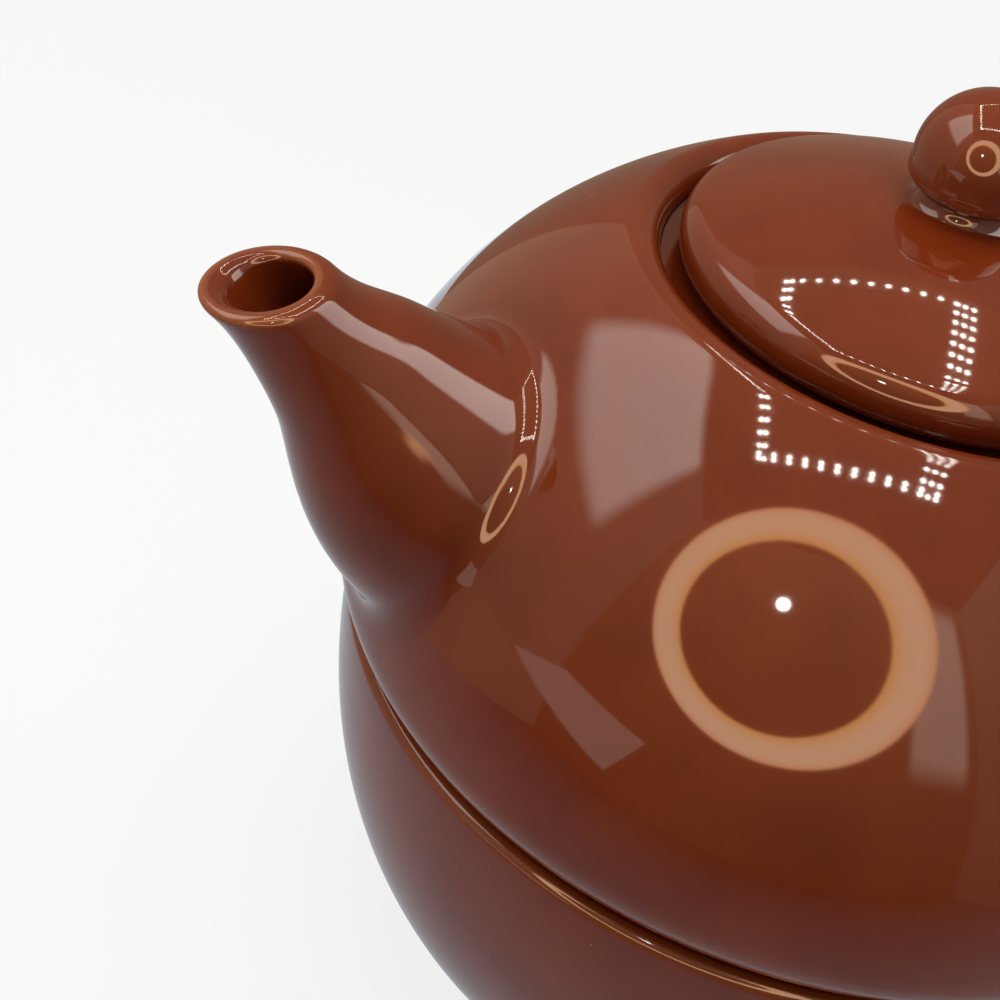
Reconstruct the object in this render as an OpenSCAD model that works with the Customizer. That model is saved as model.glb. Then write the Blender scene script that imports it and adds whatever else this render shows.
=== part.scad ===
// Tea for one: a glazed teapot that nests in its own cup, with a drop-in lid.
// Sizes are in millimetres. The origin is on the table under the middle of the cup, with +Z up.
// The spout points along -X, and both handles stand out along +X.

/* [Cup] */
// Outside diameter of the cup at its rim
cup_d = 111.2; // [100:0.2:124]
// Height of the cup from the table to the top of its rim
cup_h = 61.1; // [51:0.1:76]
// Thickness of the cup's wall
cup_wall = 4.6; // [3.6:0.1:6]
// Radius of the rounded outer edge of the rim, from which the pot's seat slopes in
rim_edge_r = 1.2; // [0.8:0.1:1.8]
// Thickness of the cup's floor
cup_floor = 5; // [3:0.5:8]
// Height of the straight band between the rim and the curve of the bowl
cup_band = 4.2; // [1:0.1:8]
// Fullness of the bowl's curve, where 2 is an ellipse and more is squarer
cup_fullness = 2.25; // [2:0.05:2.8]
// Diameter of the flat base under the bowl
cup_base_d = 63; // [50:0.5:72]

/* [Cup foot] */
// Height of the bare ring that the cup stands on
cup_foot_h = 4; // [2.5:0.5:7]
// Width of the ring's wall
cup_foot_w = 4.5; // [3:0.5:8]
// How far the ring stands in from the edge of the base
cup_foot_inset = 1.5; // [0.5:0.5:4]

/* [Cup handle] */
// How far the middle of the upper root lies below the cup's rim
cup_handle_drop = 13; // [11:0.5:18]
// Height of the middle of the lower root above the table
cup_handle_bottom = 19; // [14:0.5:24]
// How far the middle of the handle stands out past the cup's rim
cup_handle_reach = 22; // [18:0.5:30]
// Width of the handle, across the finger
cup_handle_w = 11; // [8:0.5:16]
// Thickness of the handle
cup_handle_t = 7; // [5:0.5:9]

/* [Pot] */
// How far the pot's widest level stands out past the cup's rim
pot_overhang = 1.55; // [0.8:0.05:4]
// Height of the pot's curve above its widest level, up to where it would close
pot_shoulder_h = 48.8; // [42:0.2:58]
// Fullness of the shoulder's curve, where 2 is an ellipse and more is squarer
pot_fullness = 1.96; // [1.8:0.02:2.4]
// Depth of the pot's curve below its widest level, down to where it would close
pot_belly_h = 18.7; // [16:0.1:26]
// Thickness of the pot's wall and floor
pot_wall = 4.2; // [3:0.1:5]
// Diameter of the flat base under the pot
pot_base_d = 72; // [60:0.5:80]
// Clearance between the pot and the cup's rim that it nests in
seat_gap = 0.3; // [0.2:0.05:0.6]

/* [Pot foot] */
// Height of the bare ring that the pot stands on when it is off the cup
pot_foot_h = 4; // [2.5:0.5:6]
// Width of the ring's wall
pot_foot_w = 4.5; // [3:0.5:7]
// How far the ring stands in from the edge of the base
pot_foot_inset = 1.5; // [0.5:0.5:4]

/* [Pot handle] */
// How far the middle of the upper root lies below the top of the mouth's edge
pot_handle_drop = 9; // [7:0.5:14]
// Height of the middle of the lower root above the pot's widest level
pot_handle_bottom = 3; // [1:0.5:6]
// How far the middle of the handle stands out past the pot's side
pot_handle_reach = 23; // [19:0.5:30]
// Width of the handle, across the finger
pot_handle_w = 12; // [8:0.5:16]
// Thickness of the handle
pot_handle_t = 7.5; // [5:0.5:9]

/* [Spout] */
// Height of the start of the spout's middle line above the pot's widest level
spout_root_h = 13.8; // [11:0.2:16]
// How far inside the pot's side the middle line starts
spout_root_in = 13; // [11:0.5:16]
// Height of the middle of the spout's lip above the top of the mouth's edge
spout_tip_rise = 0.4; // [-4:0.1:6]
// How far the middle of the lip stands out past the pot's side
spout_tip_out = 11.6; // [8:0.1:18]
// Slope of the middle line where it starts, in degrees
spout_root_slope = 41; // [34:1:50]
// Slope of the middle line at the lip, in degrees
spout_tip_slope = 44.5; // [36:0.5:54]
// Length over which the middle line keeps its first slope
spout_root_pull = 15; // [11:0.5:18]
// Length over which the middle line takes up its last slope
spout_tip_pull = 15.2; // [10:0.2:18]
// Diameter of the spout where its middle line starts
spout_root_d = 31.4; // [28:0.2:33]
// Diameter that the swelling above the root is drawn towards
spout_swell_d = 32.8; // [28:0.1:34]
// Diameter that the throat below the lip is drawn towards
spout_throat_d = 11.8; // [10.6:0.2:15]
// Diameter of the lip
spout_tip_d = 12.3; // [11.2:0.1:15]
// Thickness of the spout's wall at its root
spout_wall = 3.2; // [2.4:0.1:4]
// Thickness of the spout's wall at the lip
spout_lip_t = 2.3; // [1.6:0.1:2.8]
// Slope of the cut across the lip, in degrees
spout_lip_slope = -12; // [-25:1:0]

/* [Strainer] */
// Diameter of each hole through the pot's wall behind the spout
strainer_hole_d = 3.6; // [3:0.2:5]
// Distance between neighbouring holes
strainer_pitch = 6.6; // [5.6:0.2:7.2]
// Width of the clay between the outer holes and the edge of the pierced disc
strainer_rim = 2; // [1.5:0.1:2.5]

/* [Mouth] */
// Diameter of the gallery that the lid drops into
mouth_d = 56.6; // [52:0.2:62]
// Radius of the rounded edge round the mouth
mouth_edge_r = 2.6; // [1.6:0.1:2.8]
// Depth of the ledge that carries the lid, below the top of the mouth's edge
gallery_depth = 3; // [2.8:0.1:5]
// Width of the ledge, from the wall of the gallery to the hole inside it
ledge_w = 6.3; // [5:0.1:9]
// Thickness of the ledge
ledge_t = 3.5; // [2.5:0.1:5]

/* [Lid] */
// Clearance between the lid's edge and the wall of the gallery
lid_side_gap = 1.6; // [0.8:0.1:2.2]
// Clearance between the lid and the ledge that it rests on
lid_seat_gap = 0.3; // [0.2:0.05:0.6]
// Radius of the turned-under edge at the bottom of the lid
lid_under_r = 2.4; // [1:0.1:3.2]
// Height of the straight side of the lid
lid_side_h = 0.5; // [0.3:0.1:3]
// Radius of the rolled edge at the top of the lid
lid_edge_r = 3.2; // [2:0.1:6]
// Radius of the domed crown of the lid
lid_crown_r = 60; // [50:1:130]
// Thickness of the lid under its crown
lid_wall = 4; // [3:0.1:5]

/* [Lid collar] */
// Clearance between the collar and the hole in the ledge
collar_gap = 0.6; // [0.4:0.1:1.2]
// Thickness of the collar
collar_t = 3.2; // [2.4:0.1:4]
// How far the collar hangs below the lid
collar_h = 8; // [6:0.5:12]

/* [Lid knob] */
// Diameter of the round knob
knob_d = 13.6; // [12:0.1:18]
// Height of the straight side below the middle of the ball
knob_side_h = 1.8; // [1:0.1:5]
// Diameter of the neck under the knob
knob_neck_d = 10; // [8:0.1:11]
// Height of the straight neck between the ball and the flare
knob_neck_h = 0.3; // [0.2:0.1:4]
// Radius of the flare from the neck into the lid
knob_flare_r = 1.6; // [1:0.1:3]

/* [Hidden] */

// Colours of the glaze and of the bare clay
glaze = "#6a2c16";
bare_clay = "#b98a63";

// Smoothness: steps along a curve, and sides and rings of the spout and handles
$fn = 96;
curve_steps = 24;
edge_steps = 8;
tube_sides = 24;
tube_rings = 20;
// How far a cutting piece runs past what it cuts
over = 1;
// Chamfer on both edges of a foot ring and of the collar, as a share of its width
foot_chamfer = 0.2;
// How much a handle widens at its roots, and how sharply
root_flare = 0.4;
root_flare_power = 4;
// How far the upper and lower bends of a handle rise and sag, as shares of its height
bend_rise = 0.26;
bend_sag = 0.1;
// Share of the spout, measured from its lip, over which its rings lean to the lip's cut
lip_lean = 0.35;
// How far the foot of the knob's flare is sunk in the crown
flare_sink = 0.1;
// Steps used to close in on a height or a crossing
search_steps = 30;

// Cup: radii and levels
cup_r = cup_d / 2;
rim_mid = [cup_r - rim_edge_r, cup_h - rim_edge_r];
cup_curve_top = rim_mid.y - cup_band;
cup_base_r = cup_base_d / 2;
cup_inner_r = cup_r - cup_wall;
cup_floor_z = cup_foot_h + cup_floor;
cup_handle_top = cup_h - cup_handle_drop;
// Depth at which the bowl's curve would close, set by the base that it has to meet
cup_curve_h = (cup_curve_top - cup_foot_h)
    / pow(1 - pow(cup_base_r / cup_r, cup_fullness), 1 / cup_fullness);

// Pot: its widest level is where its belly comes to rest on the cup's rim
pot_r = cup_r + pot_overhang;
seat_reach = rim_edge_r + seat_gap;
seat_angle = search_seat(0, 90, search_steps);
pot_z = rim_mid.y + pot_belly_h * sin(seat_angle) - belly_normal(seat_angle).y * seat_reach;
seat_turn = atan2(-belly_normal(seat_angle).y, -belly_normal(seat_angle).x);
seat_top = rim_mid + rim_edge_r * unit(seat_turn);
seat_end = [cup_inner_r, seat_top.y - (seat_top.x - cup_inner_r) * tan(seat_turn - 90)];
pot_base_r = pot_base_d / 2;
pot_base_angle = acos(pot_base_r / pot_r);
pot_base_z = pot_z - pot_belly_h * sin(pot_base_angle);
pot_floor_z = pot_base_z + pot_wall;
pot_inner_r = pot_r - pot_wall;
pot_inner_belly = pot_belly_h - pot_wall;
pot_inner_shoulder = pot_shoulder_h - pot_wall;

// Mouth: the rounded edge is a circle that touches the gallery's wall and the shoulder
mouth_r = mouth_d / 2;
edge_mid_r = mouth_r + mouth_edge_r;
edge_mid_z = pot_z + oval_height(edge_mid_r, pot_r - mouth_edge_r, pot_shoulder_h - mouth_edge_r);
edge_end = shoulder_normal_angle(edge_mid_r, edge_mid_z - pot_z);
mouth_z = edge_mid_z + mouth_edge_r;
ledge_z = mouth_z - gallery_depth;
ledge_r = mouth_r - ledge_w;
ledge_under_z = ledge_z - ledge_t;
pot_handle_top = mouth_z - pot_handle_drop - pot_z;

// Lid: a turned-under edge, a short side and a rolled edge that runs into a domed crown
lid_z = ledge_z + lid_seat_gap;
lid_r = mouth_r - lid_side_gap;
lid_under_mid = [lid_r - lid_under_r, lid_z + lid_under_r];
lid_edge_mid = [lid_r - lid_edge_r, lid_under_mid.y + lid_side_h];
crown_tilt = asin(lid_edge_mid.x / (lid_crown_r - lid_edge_r));
crown_z = lid_edge_mid.y - (lid_crown_r - lid_edge_r) * cos(crown_tilt);
collar_r = ledge_r - collar_gap;
collar_inner_r = collar_r - collar_t;

// Knob: levels from the lid up, through the flare, the neck, the turn under the ball and its side
knob_r = knob_d / 2;
knob_neck_r = knob_neck_d / 2;
knob_turn_r = knob_r - knob_neck_r;
knob_flare_mid = [
    knob_neck_r + knob_flare_r,
    crown_height(knob_neck_r + knob_flare_r) + knob_flare_r - flare_sink
];
knob_turn_z = knob_flare_mid.y + knob_neck_h + knob_turn_r;
knob_z = knob_turn_z + knob_side_h;

// Spout: four points that draw its middle line and four diameters that draw its taper
spout_root = [pot_r - spout_root_in, pot_z + spout_root_h];
spout_tip = [pot_r + spout_tip_out, mouth_z + spout_tip_rise];
spout_line = [
    spout_root,
    spout_root + spout_root_pull * unit(spout_root_slope),
    spout_tip - spout_tip_pull * unit(spout_tip_slope),
    spout_tip
];
spout_taper = [spout_root_d, spout_swell_d, spout_throat_d, spout_tip_d] / 2;
spout_cross = search_cross(0, 1, search_steps);
strainer_mid = bezier(spout_line, spout_cross);
strainer_slope = shoulder_normal_angle(strainer_mid.x, strainer_mid.y - pot_z);
strainer_r = strainer_pitch + strainer_hole_d / 2 + strainer_rim;

// General curves
function unit(a) = [cos(a), sin(a)];
function arc(mid, r, from, to, steps) = [for (i = [0:steps]) mid + r * unit(from + (to - from) * i / steps)];
function oval(rx, ry, power, a) = [rx * pow(cos(a), 2 / power), ry * pow(sin(a), 2 / power)];
function bezier(p, t) =
    p[0] * pow(1 - t, 3) + p[1] * 3 * t * pow(1 - t, 2) + p[2] * 3 * t * t * (1 - t) + p[3] * pow(t, 3);
function bezier_slope(p, t) =
    let (d = (p[1] - p[0]) * pow(1 - t, 2) + (p[2] - p[1]) * 2 * t * (1 - t) + (p[3] - p[2]) * t * t)
    atan2(d.y, d.x);

// Outward normals of the pot below and above its widest level
function belly_normal(a) =
    let (n = [cos(a) / pot_r, -sin(a) / pot_belly_h])
    n / norm(n);
function shoulder_normal_angle(r, rise) = atan2(
    pow(rise / pot_shoulder_h, pot_fullness - 1) / pot_shoulder_h,
    pow(r / pot_r, pot_fullness - 1) / pot_r);

// Angle on the belly at which the rounded edge of the cup's rim lies one clearance away from it
function seat_radius(a) = pot_r * cos(a) + belly_normal(a).x * seat_reach;
function search_seat(low, high, steps) =
    let (mid = (low + high) / 2)
    steps == 0 ? mid
    : seat_radius(mid) > rim_mid.x ? search_seat(mid, high, steps - 1)
    : search_seat(low, mid, steps - 1);

// Place on the spout's middle line at which it comes out of the pot
function outside_pot(p) = p.x > pot_radius(p.y - pot_z);
function search_cross(low, high, steps) =
    let (mid = (low + high) / 2)
    steps == 0 ? mid
    : outside_pot(bezier(spout_line, mid)) ? search_cross(low, mid, steps - 1)
    : search_cross(mid, high, steps - 1);

// Radius of the cup's outside, and of the pot's shoulder, at a height
function cup_radius(z) =
    z >= cup_curve_top ? cup_r
    : cup_r * pow(1 - pow((cup_curve_top - z) / cup_curve_h, cup_fullness), 1 / cup_fullness);
function pot_radius(rise) = oval_height(rise, pot_shoulder_h, pot_r);
function oval_height(along, reach, height) =
    height * pow(1 - pow(along / reach, pot_fullness), 1 / pot_fullness);

// Height of the lid's crown at a radius
function crown_height(r) = crown_z + sqrt(pow(lid_crown_r, 2) - pow(r, 2));

// Angle at which an oval of this depth reaches a level above or below its widest one
function level_angle(drop, depth, power) = asin(pow(drop / depth, power / 2));

// Outlines in the plane of radius and height
function cup_curve(r, depth, bottom_z) =
    let (end = level_angle(cup_curve_top - bottom_z, depth, cup_fullness))
    [for (i = [0:curve_steps])
        let (p = oval(r, depth, cup_fullness, end * i / curve_steps))
        [p.x, cup_curve_top - p.y]];
function flip(points) = [for (i = [len(points) - 1:-1:0]) points[i]];
function cup_outline() = concat(
    [[0, cup_foot_h]],
    flip(cup_curve(cup_r, cup_curve_h, cup_foot_h)),
    arc(rim_mid, rim_edge_r, 0, seat_turn, edge_steps),
    [seat_end],
    cup_curve(cup_inner_r, cup_curve_h - cup_wall, cup_floor_z),
    [[0, cup_floor_z]]);
function belly(r, depth, bottom_z) =
    let (end = asin((pot_z - bottom_z) / depth))
    [for (i = [0:edge_steps]) let (a = end * i / edge_steps) [r * cos(a), pot_z - depth * sin(a)]];
function shoulder(r, height, from, to) =
    [for (i = [1:curve_steps])
        [0, pot_z] + oval(r, height, pot_fullness, from + (to - from) * i / curve_steps)];
function under_ledge(height) = level_angle(ledge_under_z - pot_z, height, pot_fullness);
function shoulder_end() =
    let (r = edge_mid_r + mouth_edge_r * cos(edge_end))
    acos(pow(r / pot_r, pot_fullness / 2));
function pot_outside() = concat(
    [[0, pot_base_z]],
    flip(belly(pot_r, pot_belly_h, pot_base_z)),
    shoulder(pot_r, pot_shoulder_h, 0, shoulder_end()));
function gallery_outline() = concat(
    [[pot_radius(ledge_under_z - pot_z), ledge_under_z]],
    shoulder(pot_r, pot_shoulder_h, under_ledge(pot_shoulder_h), shoulder_end()),
    arc([edge_mid_r, edge_mid_z], mouth_edge_r, edge_end, 180, edge_steps),
    [[mouth_r, ledge_z], [ledge_r, ledge_z], [ledge_r, ledge_under_z]]);
function shoulder_outline() = concat(
    [[pot_r, pot_z]],
    shoulder(pot_r, pot_shoulder_h, 0, under_ledge(pot_shoulder_h)),
    flip(shoulder(pot_inner_r, pot_inner_shoulder, 0, under_ledge(pot_inner_shoulder))),
    [[pot_inner_r, pot_z]]);
function belly_outline() = concat(
    [[0, pot_base_z]],
    flip(belly(pot_r, pot_belly_h, pot_base_z)),
    belly(pot_inner_r, pot_inner_belly, pot_floor_z),
    [[0, pot_floor_z]]);
function lid_outside() = concat(
    arc(lid_under_mid, lid_under_r, -90, 0, edge_steps),
    arc(lid_edge_mid, lid_edge_r, 0, 90 - crown_tilt, edge_steps),
    arc([0, crown_z], lid_crown_r, 90 - crown_tilt, 90, curve_steps));
function lid_outline() =
    let (under_r = lid_crown_r - lid_wall)
    concat(
        [[collar_inner_r, lid_z]],
        lid_outside(),
        arc([0, crown_z], under_r, 90, acos(collar_inner_r / under_r), curve_steps));
function ring_outline(outer_r, width, low_z, high_z) =
    let (c = width * foot_chamfer)
    [[outer_r - width + c, low_z], [outer_r - c, low_z], [outer_r, low_z + c],
     [outer_r, high_z], [outer_r - width, high_z], [outer_r - width, low_z + c]];
function knob_outline() = concat(
    [[0, knob_flare_mid.y - knob_flare_r - over], [knob_flare_mid.x, knob_flare_mid.y - knob_flare_r - over]],
    flip(arc(knob_flare_mid, knob_flare_r, 180, 270, edge_steps)),
    arc([knob_neck_r, knob_turn_z], knob_turn_r, -90, 0, edge_steps),
    arc([0, knob_z], knob_r, 0, 90, curve_steps));

// Middle lines and rings of the handles and of the spout
function handle_line(top, bottom, out) =
    let (rise = top.y - bottom.y, x = (out - (top.x + bottom.x) / 8) * 4 / 3)
    [top, [x, top.y + bend_rise * rise], [x, bottom.y - bend_sag * rise], bottom];
function handle_ring(line, t, width, thick) =
    let (mid = bezier(line, t), across = unit(bezier_slope(line, t) - 90),
         flare = 1 + root_flare * pow(abs(2 * t - 1), root_flare_power))
    [for (j = [0:tube_sides - 1])
        let (a = 360 * j / tube_sides, p = mid + across * cos(a) * thick * flare / 2)
        [p.x, sin(a) * width * flare / 2, p.y]];
function ease(t) = t * t * (3 - 2 * t);
function lean(t) =
    (spout_lip_slope + 90 - spout_tip_slope) * ease(max(0, (t - 1 + lip_lean) / lip_lean));
function spout_ring(t, wall_share) =
    let (mid = bezier(spout_line, t), across = unit(bezier_slope(spout_line, t) - 90 + lean(t)),
         wall = spout_wall + (spout_lip_t - spout_wall) * t,
         r = bezier(spout_taper, t) - wall * wall_share)
    [for (j = [0:tube_sides - 1])
        let (a = 360 * j / tube_sides, p = mid + across * r * cos(a))
        [-p.x, r * sin(a), p.y]];

// Faces of a tube through rings of points: the wall between two rings, as triangles
function wall_faces(first, rings, sides) = [for (i = [0:rings - 1], j = [0:sides - 1])
    let (a = first + i * sides + j, b = first + i * sides + (j + 1) % sides)
    each [[a, b, a + sides], [b, b + sides, a + sides]]];
function turned(faces) = [for (f = faces) [f[0], f[2], f[1]]];
function annulus_faces(outer, inner, sides) = [for (j = [0:sides - 1])
    let (k = (j + 1) % sides)
    each [[outer + j, inner + j, outer + k], [outer + k, inner + j, inner + k]]];

// A solid rod through rings of points
module rod(rings) {
    sides = len(rings[0]);
    last = len(rings) - 1;
    end = last * sides;
    start_cap = [for (j = [1:sides - 2]) [0, j + 1, j]];
    end_cap = [for (j = [1:sides - 2]) [end, end + j, end + j + 1]];
    polyhedron([for (ring = rings) each ring], concat(wall_faces(0, last, sides), start_cap, end_cap));
}

// A pipe between outer rings and the same number of inner rings
module pipe(outer, inner) {
    sides = len(outer[0]);
    last = len(outer) - 1;
    bore = len(outer) * sides;
    polyhedron([for (ring = concat(outer, inner)) each ring], concat(
        wall_faces(0, last, sides),
        turned(wall_faces(bore, last, sides)),
        turned(annulus_faces(0, bore, sides)),
        annulus_faces(last * sides, bore + last * sides, sides)));
}

// The cup and the pot as filled solids, which the pieces stuck on them are cut to fit
module cup_filled() {
    rotate_extrude()
        polygon(concat(
            [[0, cup_foot_h]],
            flip(cup_curve(cup_r, cup_curve_h, cup_foot_h)),
            [[cup_r, rim_mid.y], [0, rim_mid.y]]));
}
module pot_filled() {
    rotate_extrude()
        polygon(concat(pot_outside(), [[0, mouth_z]]));
}
module lid_filled() {
    rotate_extrude()
        polygon(concat([[0, lid_z]], lid_outside()));
}

// Cup: bowl, standing ring and handle
module cup_bowl() {
    color(glaze)
        rotate_extrude()
            polygon(cup_outline());
}
module cup_foot_ring() {
    color(bare_clay)
        rotate_extrude()
            polygon(ring_outline(cup_base_r - cup_foot_inset, cup_foot_w, 0, cup_foot_h));
}
module cup_handle() {
    line = handle_line(
        [cup_radius(cup_handle_top) - cup_handle_t, cup_handle_top],
        [cup_radius(cup_handle_bottom) - cup_handle_t, cup_handle_bottom],
        cup_r + cup_handle_reach);
    color(glaze)
        difference() {
            rod([for (i = [0:tube_rings]) handle_ring(line, i / tube_rings, cup_handle_w, cup_handle_t)]);
            cup_filled();
        }
}

// Pot: gallery ring, shoulder and belly, one on the other, pierced disc, standing ring, spout and handle
module behind_spout() {
    // Moves what is drawn on the axis to the wall behind the spout, square to it
    translate([-strainer_mid.x, 0, strainer_mid.y])
        rotate([0, -90 + strainer_slope, 0])
            children();
}
module pot_gallery() {
    color(glaze)
        rotate_extrude()
            polygon(gallery_outline());
}
module pot_shoulder() {
    color(glaze)
        difference() {
            rotate_extrude()
                polygon(shoulder_outline());
            behind_spout()
                cylinder(r = strainer_r, h = 4 * pot_wall, center = true);
        }
}
module pot_belly() {
    color(glaze)
        rotate_extrude()
            polygon(belly_outline());
}
module pot_strainer() {
    // The wall's own curve, with one hole in the middle and six round it
    color(glaze)
        difference() {
            intersection() {
                rotate_extrude()
                    polygon(shoulder_outline());
                behind_spout()
                    cylinder(r = strainer_r, h = 4 * pot_wall, center = true);
            }
            behind_spout()
                for (place = concat([[0, 0]], [for (i = [0:5]) strainer_pitch * unit(60 * i)]))
                    translate([place.x, place.y, 0])
                        cylinder(d = strainer_hole_d, h = 6 * pot_wall, center = true);
        }
}
module pot_foot_ring() {
    color(bare_clay)
        rotate_extrude()
            polygon(ring_outline(
                pot_base_r - pot_foot_inset, pot_foot_w, pot_base_z - pot_foot_h, pot_base_z));
}
module pot_spout() {
    color(glaze)
        difference() {
            pipe(
                [for (i = [0:tube_rings]) spout_ring(i / tube_rings, 0)],
                [for (i = [0:tube_rings]) spout_ring(i / tube_rings, 1)]);
            pot_filled();
        }
}
module pot_handle() {
    line = handle_line(
        [pot_radius(pot_handle_top) - pot_handle_t, pot_z + pot_handle_top],
        [pot_radius(pot_handle_bottom) - pot_handle_t, pot_z + pot_handle_bottom],
        pot_r + pot_handle_reach);
    color(glaze)
        difference() {
            rod([for (i = [0:tube_rings]) handle_ring(line, i / tube_rings, pot_handle_w, pot_handle_t)]);
            pot_filled();
        }
}

// Lid: cap, collar and knob
module lid_cap() {
    color(glaze)
        rotate_extrude()
            polygon(lid_outline());
}
module lid_collar() {
    color(bare_clay)
        rotate_extrude()
            polygon(ring_outline(collar_r, collar_t, lid_z - collar_h, lid_z));
}
module lid_knob() {
    color(glaze)
        difference() {
            rotate_extrude()
                polygon(knob_outline());
            lid_filled();
        }
}

cup_bowl();
cup_foot_ring();
cup_handle();
pot_gallery();
pot_shoulder();
pot_belly();
pot_strainer();
pot_foot_ring();
pot_spout();
pot_handle();
lid_cap();
lid_collar();
lid_knob();
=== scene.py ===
# %% [markdown]
# # A tea-for-one set in chestnut glaze
# The set is three loose things: a cup, a teapot whose round belly nests in the cup's rim, and a drop-in lid.
# Each was formed in clay, stuck together from members with slip, dipped in glaze and fired. So no edge is
# sharp, and every joint is a small hollow fillet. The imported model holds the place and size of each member.
# The cells below draw each member again, smooth enough for a surface that mirrors its surroundings.

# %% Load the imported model
import math
import bmesh
import bpy
import numpy as np
from mathutils import Matrix, Vector


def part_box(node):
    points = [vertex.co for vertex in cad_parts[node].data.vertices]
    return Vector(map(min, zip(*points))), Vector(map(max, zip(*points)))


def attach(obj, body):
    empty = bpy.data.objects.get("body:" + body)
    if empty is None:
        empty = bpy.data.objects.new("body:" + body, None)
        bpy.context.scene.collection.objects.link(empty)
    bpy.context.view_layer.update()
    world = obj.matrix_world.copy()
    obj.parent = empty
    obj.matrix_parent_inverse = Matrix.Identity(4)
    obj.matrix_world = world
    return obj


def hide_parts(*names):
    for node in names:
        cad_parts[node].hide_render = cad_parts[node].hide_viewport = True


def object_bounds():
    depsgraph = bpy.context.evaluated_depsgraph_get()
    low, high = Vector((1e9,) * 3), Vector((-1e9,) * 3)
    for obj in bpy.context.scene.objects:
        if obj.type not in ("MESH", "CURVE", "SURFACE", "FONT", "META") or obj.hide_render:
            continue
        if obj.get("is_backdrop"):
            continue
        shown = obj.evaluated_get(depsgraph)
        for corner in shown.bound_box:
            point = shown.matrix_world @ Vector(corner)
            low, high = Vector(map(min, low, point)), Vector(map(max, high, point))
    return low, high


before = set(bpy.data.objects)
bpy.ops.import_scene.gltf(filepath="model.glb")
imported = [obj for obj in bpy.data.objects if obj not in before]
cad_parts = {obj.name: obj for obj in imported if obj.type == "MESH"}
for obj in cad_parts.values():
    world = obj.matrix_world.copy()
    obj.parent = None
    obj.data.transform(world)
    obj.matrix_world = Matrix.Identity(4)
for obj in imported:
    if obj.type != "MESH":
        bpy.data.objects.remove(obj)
cad_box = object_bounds()
MM = 0.001
print("Nodes:", sorted(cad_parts))
print("Box in mm:", [[round(x / MM, 1) for x in corner] for corner in cad_box])

# %% [markdown]
# ## Camera
# The photograph was taken from close by, looking down past the spout, with the camera tipped a little to one
# side. A camera can be set by a matrix or by a constraint. Here it is aimed from one place at one target and
# then rolled, because those three values are easy to read and to change.

# %% Camera
CAMERA_PLACE = Vector((-91.78, -113.33, 181.79))
CAMERA_TARGET = Vector((-46.35, -9.04, 89.16))
CAMERA_ROLL = 12.05
CAMERA_LENS = 54.7
CAMERA_NEAREST = 10

camera_data = bpy.data.cameras.new("product_camera")
camera_data.sensor_width = 36
camera_data.lens = CAMERA_LENS
camera_data.clip_start = CAMERA_NEAREST * MM
camera = bpy.data.objects.new("product_camera", camera_data)
aim = (CAMERA_TARGET - CAMERA_PLACE).to_track_quat("-Z", "Y").to_matrix().to_4x4()
roll = Matrix.Rotation(math.radians(CAMERA_ROLL), 4, "Z")
camera.matrix_world = Matrix.Translation(CAMERA_PLACE * MM) @ aim @ roll
bpy.context.scene.collection.objects.link(camera)
bpy.context.scene.camera = camera
print("Camera stands", round((CAMERA_TARGET - CAMERA_PLACE).length), "mm from its target")

# %% [markdown]
# ## Outlines
# A potter's profile tool cuts half of a section, and the wheel turns it into a pot. Spin does the same with a
# wire outline. The outlines are written in millimetres as (radius, height), from arcs, ovals and a few plain
# corners. A corner with a third number is eased by that much, as glaze and a wet sponge ease a real one.

# %% Outline helpers
ARC_STEPS = 12
CURVE_STEPS = 40
EASE_STEPS = 5


def turn(angle):
    """Unit vector at an angle in degrees."""
    return Vector((math.cos(math.radians(angle)), math.sin(math.radians(angle))))


def arc(middle, radius, start, end, steps=ARC_STEPS):
    """Points along an arc, from one angle in degrees to another."""
    return [Vector(middle) + radius * turn(start + (end - start) * i / steps) for i in range(steps + 1)]


def oval(width, height, fullness, angle):
    """A point on an oval that is an ellipse at fullness 2 and squarer above it."""
    c, s = turn(angle)
    return Vector((width * max(c, 0) ** (2 / fullness), height * max(s, 0) ** (2 / fullness)))


def oval_width(width, height, fullness, level):
    """Half width of such an oval at a level above its middle."""
    return width * max(0, 1 - (level / height) ** fullness) ** (1 / fullness)


def level_angle(level, height, fullness):
    """Angle at which such an oval reaches a level above its middle."""
    return math.degrees(math.asin((level / height) ** (fullness / 2)))


def eased(corners):
    """Corner points, with each corner that has a third number rounded off by that length."""
    points = []
    for i, corner in enumerate(corners):
        here = Vector(corner[:2])
        if len(corner) == 2:
            points.append(here)
            continue
        before = here + (Vector(corners[i - 1][:2]) - here).normalized() * corner[2]
        after = here + (Vector(corners[i + 1][:2]) - here).normalized() * corner[2]
        for step in range(EASE_STEPS + 1):
            u = step / EASE_STEPS
            points.append(before * (1 - u) ** 2 + here * 2 * u * (1 - u) + after * u ** 2)
    return points


print("Arcs have", ARC_STEPS, "steps and long curves", CURVE_STEPS)

# %% [markdown]
# ## From outline to piece
# Spinning a wire all the way round with merged ends gives a closed skin. Points on the axis become a ring of
# doubles there, so they are merged before the normals are turned outwards. Edges over a set angle stay crisp,
# and all others shade smoothly.

# %% Spin and finish helpers
SPIN_STEPS = 192
SAME_POINT = 0.001
CRISP_ANGLE = 40


def finished(name, bm):
    """Turns a bmesh into a smooth-shaded object with outward faces."""
    bmesh.ops.remove_doubles(bm, verts=bm.verts, dist=SAME_POINT * MM)
    bmesh.ops.recalc_face_normals(bm, faces=bm.faces)
    mesh = bpy.data.meshes.new(name)
    bm.to_mesh(mesh)
    bm.free()
    mesh.shade_smooth()
    mesh.set_sharp_from_angle(angle=math.radians(CRISP_ANGLE))
    piece = bpy.data.objects.new(name, mesh)
    bpy.context.scene.collection.objects.link(piece)
    print("Made", name, "with", len(mesh.polygons), "faces")
    return piece


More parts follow.
